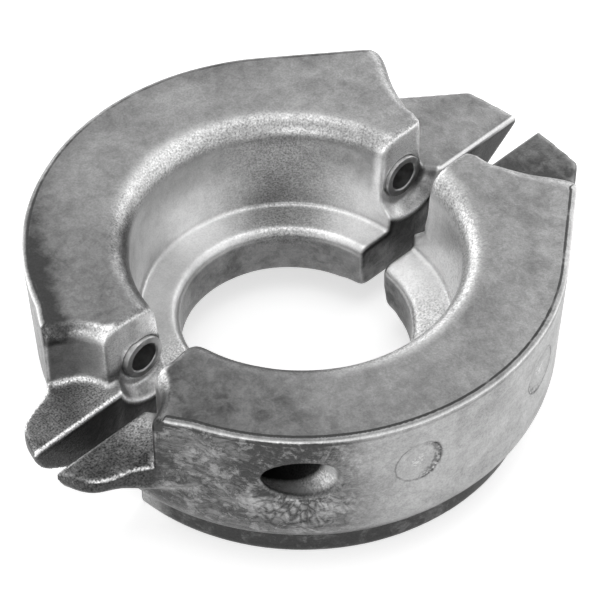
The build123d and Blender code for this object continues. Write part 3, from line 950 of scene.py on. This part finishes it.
def skin_sand(at, rim):
    """How sandy the skin is by place: most at the big roundings and on the horn."""
    sand = 0.2 + 0.38 * eased(at.tilt, 0.1, 0.35) * eased(at.tilt, 0.995, 0.9)
    sand = towards(sand, 0.2, eased(np.abs(rim), 4, 2))
    recess = (eased(at.y, RECESS_Y, RECESS_Y - 2) * eased(at.z, BOLT_Z + 14, BOLT_Z + 12)
              * eased(np.abs(at.x), 30, 34))
    sand = towards(sand, 0.3, recess)
    lugs = np.where(at.z < HORN_Z + 1, 1, eased(at.y, 9, 12)) * eased(at.z, TOP_Z - 4, TOP_Z - 6)
    lugs = lugs * eased(at.y, HORN_END_Y + 3, HORN_END_Y - 1)
    wing_side = eased(at.x, WING_ROOT_X, WING_ROOT_X + 4)
    horn_side = eased(at.x, HORN_ROOT_X - 4, HORN_ROOT_X - 6)
    horn_tip = eased(at.x, HORN_ROOT_X - 14, HORN_ROOT_X - 17)
    lugs = lugs * np.where(at.x > 0, wing_side, horn_side)
    lugs = lugs * np.maximum(eased(at.tilt, 0.1, 0.3), np.where(at.x > 0, 1, horn_tip))
    sand = towards(sand, np.where(at.x < 0, 1.0, 0.15), lugs)
    bell = np.maximum(hump(at.angle, BELL_MIDDLE_ANGLE, BELL_MIDDLE_REACH), eased(at.angle, 150, 165))
    sand = towards(sand, 0.1 + 0.5 * bell, eased(at.radius, 46, 42) * eased(at.z, TOP_Z - 4, TOP_Z - 7))
    in_bore = eased(at.z, LEDGE_Z - 3, LEDGE_Z - 6) * at.within_bell
    return towards(sand, 0.15, in_bore)


def soften(mesh, size):
    """Round the edges of a gridded half. Gives its points and how much each bulges."""
    averaged = neighbours(mesh)
    points = relaxed(averaged, read_vectors(mesh, "co") / MM, ALL_ROUNDS, np.ones(len(mesh.vertices)))
    write_points(mesh, points)
    bulge = ((points - averaged(points)) * read_vectors(mesh, "normal")).sum(1) / (size / MM) ** 2
    for _ in range(2):
        bulge = averaged(bulge)
    points = relaxed(averaged, points, ZONE_ROUNDS, soft_zones(points))
    points = relaxed(averaged, points, FAN_ROUNDS, fan_zone(points))
    points = relaxed(averaged, points, FOOT_ROUNDS, foot_zone(points))
    write_points(mesh, points)
    return points, bulge


def make_uneven(mesh, points, seed, height):
    """Move the skin in and out in broad waves, calm at the mating face and the underside."""
    shift = Vector((seed, 0, 0))
    wave = np.array([noise.noise(Vector(p) / WAVE_SIZE + shift)
                     + RIPPLE_SHARE * noise.noise(Vector(p) / RIPPLE_SIZE) for p in points])
    calm = np.clip((np.abs(points[:, 1]) - FACE_Y) / 2, 0.2, 1) * np.clip(points[:, 2] / 4, 0, 1)
    moved = points + read_vectors(mesh, "normal") * (wave * calm * height)[:, None]
    points = np.clip(moved, np.array(LOW), np.array(HIGH))
    write_points(mesh, points)
    return points


def store_skin(mesh, node, points, bulge, look):
    """Keep on the mesh what the zinc material reads: edge wear with painted highlight, darkness from tarnish
    and painted shading, sand, and places of marks.
    """
    normals = read_vectors(mesh, "normal")
    at = Skin(points, normals)
    rim = rim_profile(points, node)
    # rounded edges lighter from wear and painted highlight, twice as much on the horn
    wear_and_highlight = np.where(bulge < 0, -0.5 * bulge, bulge) * np.where(at.x < HORN_ROOT_X - 4, 2.0, 1.0)
    store(mesh, "convex", np.clip(wear_and_highlight * CONVEX_REACH - 0.12, 0, 1) * (1 - recess_edges(points, bulge)))
    store(mesh, "rim", rim)
    store(mesh, "age", skin_tarnish_and_shading(at, points, rim, bulge, look))
    store(mesh, "sand", skin_sand(at, rim))

    angle = np.radians(at.angle)
    outward = (normals[:, 0] * at.x + normals[:, 1] * np.sign(points[:, 1]) * (at.y - RING_Y)) / at.radius
    on_wall = (eased(outward, 0.75, 0.95) * eased(at.radius, WALL_FROM_R + 2, WALL_FROM_R + 5)
               * eased(at.z, FOOT_Z - 1, FOOT_Z + 1))
    flowing = on_wall * eased(at.angle, HORN_SIDE_ANGLE, HORN_SIDE_ANGLE + 24)
    on_foot = eased(at.z, FOOT_Z + 1, FOOT_Z - 1) * eased(at.radius, WALL_FROM_R, WALL_FROM_R + 2)
    store(mesh, "flow", flowing + FOOT_FLOW * on_foot)

    flat = np.zeros(len(points))
    pocket_angle = pi / 2 + np.arcsin(-HORN_BOLT_X / wall_radius(BOLT_Z))
    from_plug = (np.abs(angle - pi / 2) - radians(PLUG_ANGLE)) * OUTER_R
    plug_wall = eased(at.radius, WALL_FROM_R, WALL_FROM_R + 4)
    store(mesh, "wall", np.stack([angle * OUTER_R * look.side, at.z, flat], 1))
    store(mesh, "pocket", np.stack([(angle - pocket_angle) * OUTER_R, at.z - BOLT_Z, flat], 1))
    store(mesh, "plug", np.stack([from_plug, at.z - PLUG_Z, plug_wall], 1))


def show(piece_name, mesh, node):
    """Put a mesh in the scene in place of a CAD node."""
    piece = bpy.data.objects.new(piece_name, mesh)
    link(piece)
    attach(piece, "root")
    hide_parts(node)


def build_half(node, look):
    """One half: the CAD shape on an even grid, its edges softened and its skin made uneven."""
    casting = settings()[0]
    size = casting.grid * 1
    mesh = gridded(node, size)
    points, bulge = soften(mesh, size)
    points = make_uneven(mesh, points, look.seed, casting.waviness / MM)
    store_skin(mesh, node, points, bulge, look)
    mesh.materials.clear()
    mesh.materials.append(zinc_material(f"cast_zinc_{node[-1]}", look, casting.colour, casting.tarnish,
                                        casting.grain))
    mesh.polygons.foreach_set("use_smooth", np.ones(len(mesh.polygons), bool))
    show(node.replace("zinc_half", "zinc_casting"), mesh, node)


# ---- bushes ----

def build_bush(node, steel):
    """Steel bush turned from a profile, with chamfered edges and a bore."""
    edge = settings()[1].chamfer / MM
    low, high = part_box(node)
    side = 1 if low.y > 0 else -1
    centre_x = (low.x + high.x) / 2 / MM
    near, far = BUSH_FACE_Y, BUSH_END_Y
    profile = [(BUSH_HOLE_R, far - edge), (BUSH_HOLE_R, near + edge),
               (BUSH_HOLE_R + edge * 0.4, near + edge * 0.4), (BUSH_HOLE_R + edge, near),
               (BUSH_R - edge, near), (BUSH_R - edge * 0.3, near + edge * 0.3), (BUSH_R, near + edge),
               (BUSH_R, far - edge), (BUSH_R - edge, far), (BUSH_HOLE_R + edge, far)]
    turns = [2 * pi * i / BUSH_SEGMENTS for i in range(BUSH_SEGMENTS)]
    body = bmesh.new()
    rings = [[body.verts.new(Vector((centre_x + radius * cos(turn), side * y,
                                     BOLT_Z + radius * sin(turn))) * MM) for turn in turns]
             for radius, y in profile]
    for a, b in zip(rings, rings[1:] + rings[:1]):
        for i in range(BUSH_SEGMENTS):
            j = (i + 1) % BUSH_SEGMENTS
            body.faces.new((a[i], a[j], b[j], b[i]))
    bmesh.ops.recalc_face_normals(body, faces=body.faces)
    for face in body.faces:
        face.smooth = True
    for e in body.edges:
        e.smooth = e.calc_face_angle(0) <= radians(28)
    mesh = bpy.data.meshes.new(node + "_turned")
    body.to_mesh(mesh)
    body.free()
    mesh.materials.append(steel)
    show(node + "_turned", mesh, node)


# ---- stage ----

def lamp(name, direction, width, height, brightness):
    """Soft rectangular lamp that faces the middle of the part."""
    made = bpy.data.lights.new(name, "AREA")
    made.shape = "RECTANGLE"
    made.size, made.size_y = width, height
    made.energy = brightness * pi * width * height
    lit = bpy.data.objects.new(name, made)
    aim = Vector(direction).normalized()
    lit.location = Vector((0, 0, TOP_Z / 2)) * MM + aim * LAMP_DISTANCE
    lit.rotation_euler = aim.to_track_quat("Z", "Y").to_euler()
    link(lit)


def seen_directly(tree):
    """1 for rays from the camera, a mirror-like surface or glass."""
    path = tree.nodes.new("ShaderNodeLightPath")
    total = maths(tree, "ADD", path.outputs["Is Camera Ray"], path.outputs["Is Glossy Ray"])
    return maths(tree, "ADD", total, path.outputs["Is Transmission Ray"], clamp=True)


def build_world(ambient):
    """Even light from all sides, behind a plain white background."""
    world = bpy.data.worlds.new("studio")
    bpy.context.scene.world = world
    tree = cleared(world)
    strength = ramp(tree, seen_directly(tree), 0.0, 1.0, ambient, 1.0, smooth=False)
    sky = add(tree, "ShaderNodeBackground", Color=(1, 1, 1, 1), Strength=strength)
    add(tree, "ShaderNodeOutputWorld", Surface=sky.outputs[0])


def build_floor(colour):
    """Pale floor that keeps the part's shadow."""
    body = bmesh.new()
    bmesh.ops.create_grid(body, x_segments=1, y_segments=1, size=FLOOR_SIZE)
    bmesh.ops.translate(body, verts=body.verts, vec=(0, 0, (LOW.z - FLOOR_GAP) * MM))
    mesh = bpy.data.meshes.new("floor")
    body.to_mesh(mesh)
    body.free()
    made = bpy.data.materials.new("pale_floor")
    tree = cleared(made)
    matt = add(tree, "ShaderNodeBsdfDiffuse", Color=(*colour, 1))
    glow = add(tree, "ShaderNodeEmission", Color=(1, 1, 1, 1),
               Strength=maths(tree, "MULTIPLY", seen_directly(tree), FLOOR_GLOW))
    both = add(tree, "ShaderNodeAddShader")
    put(tree, both.inputs[0], matt.outputs[0])
    put(tree, both.inputs[1], glow.outputs[0])
    add(tree, "ShaderNodeOutputMaterial", Surface=both.outputs[0])
    mesh.materials.append(made)
    floor = bpy.data.objects.new("floor", mesh)
    link(floor)


def build_camera(lens):
    """Camera that looks down on the part from its near left side."""
    turn, tilt, roll = radians(CAMERA_TURN), radians(CAMERA_TILT), radians(CAMERA_ROLL)
    back = Vector((sin(turn) * cos(tilt), -cos(turn) * cos(tilt), sin(tilt)))
    right = Vector((cos(turn), sin(turn), 0))
    up = back.cross(right)
    across = cos(roll) * right + sin(roll) * up
    upward = -sin(roll) * right + cos(roll) * up
    made = bpy.data.cameras.new("camera")
    made.lens = lens
    made.sensor_width = SENSOR_WIDTH
    made.shift_x = (FRAME_PIXELS / 2 - OPTICAL_CENTRE[0]) / FRAME_PIXELS
    made.shift_y = (OPTICAL_CENTRE[1] - FRAME_PIXELS / 2) / FRAME_PIXELS
    made.clip_end = CAMERA_REACH
    camera = bpy.data.objects.new("camera", made)
    camera.matrix_world = (Matrix.Translation(CAMERA_AT * MM)
                           @ Matrix((across, upward, back)).transposed().to_4x4())
    link(camera)
    bpy.context.scene.camera = camera


# ---- operators ----

class ANODE_OT_castings(bpy.types.Operator):
    """Build the cast zinc halves"""
    bl_idname = "anode.castings"
    bl_label = "Zinc castings"

    def execute(self, context):
        for node, look in LOOKS.items():
            build_half(node, look)
        return {"FINISHED"}


class ANODE_OT_bushes(bpy.types.Operator):
    """Build the steel bushes"""
    bl_idname = "anode.bushes"
    bl_label = "Steel bushes"

    def execute(self, context):
        steel = steel_material(settings()[1].colour)
        for node in ("wing_bush_a", "wing_bush_b", "horn_bush_a", "horn_bush_b"):
            build_bush(node, steel)
        return {"FINISHED"}


class ANODE_OT_stage(bpy.types.Operator):
    """Build the floor, lamps, world and camera"""
    bl_idname = "anode.stage"
    bl_label = "Stage"

    def execute(self, context):
        stage = settings()[2]
        build_world(stage.ambient)
        build_floor(stage.floor)
        for name, direction, width, height, share in LAMPS:
            lamp(name, direction, width, height, stage.key * share)
        build_camera(stage.lens)
        context.scene.view_settings.view_transform = "Standard"
        return {"FINISHED"}


class ANODE_PT_panel(bpy.types.Panel):
    """Steps of the build, in the sidebar"""
    bl_label = "Anode"
    bl_idname = "ANODE_PT_panel"
    bl_space_type = "VIEW_3D"
    bl_region_type = "UI"
    bl_category = "Anode"

    def draw(self, context):
        for step in (ANODE_OT_castings, ANODE_OT_bushes, ANODE_OT_stage):
            self.layout.operator(step.bl_idname)
        for group_name in ("anode_casting", "anode_bush", "anode_stage"):
            values = getattr(context.scene, group_name)
            for name in values.__annotations__:
                self.layout.prop(values, name)


GROUPS = {"anode_casting": AnodeCastingSettings, "anode_bush": AnodeBushSettings,
          "anode_stage": AnodeStageSettings}
CLASSES = (*GROUPS.values(), ANODE_OT_castings, ANODE_OT_bushes, ANODE_OT_stage, ANODE_PT_panel)


def register():
    for cls in CLASSES:
        bpy.utils.register_class(cls)
    for name, cls in GROUPS.items():
        setattr(bpy.types.Scene, name, bpy.props.PointerProperty(type=cls))


def unregister():
    for name in GROUPS:
        delattr(bpy.types.Scene, name)
    for cls in reversed(CLASSES):
        bpy.utils.unregister_class(cls)


def main():
    register()
    for make in (make_grain_group, make_mottle_group, make_flow_group, make_splash_group, make_plug_group):
        make()
    bpy.ops.anode.castings()
    bpy.ops.anode.bushes()
    bpy.ops.anode.stage()


if __name__ == "__main__":
    main()
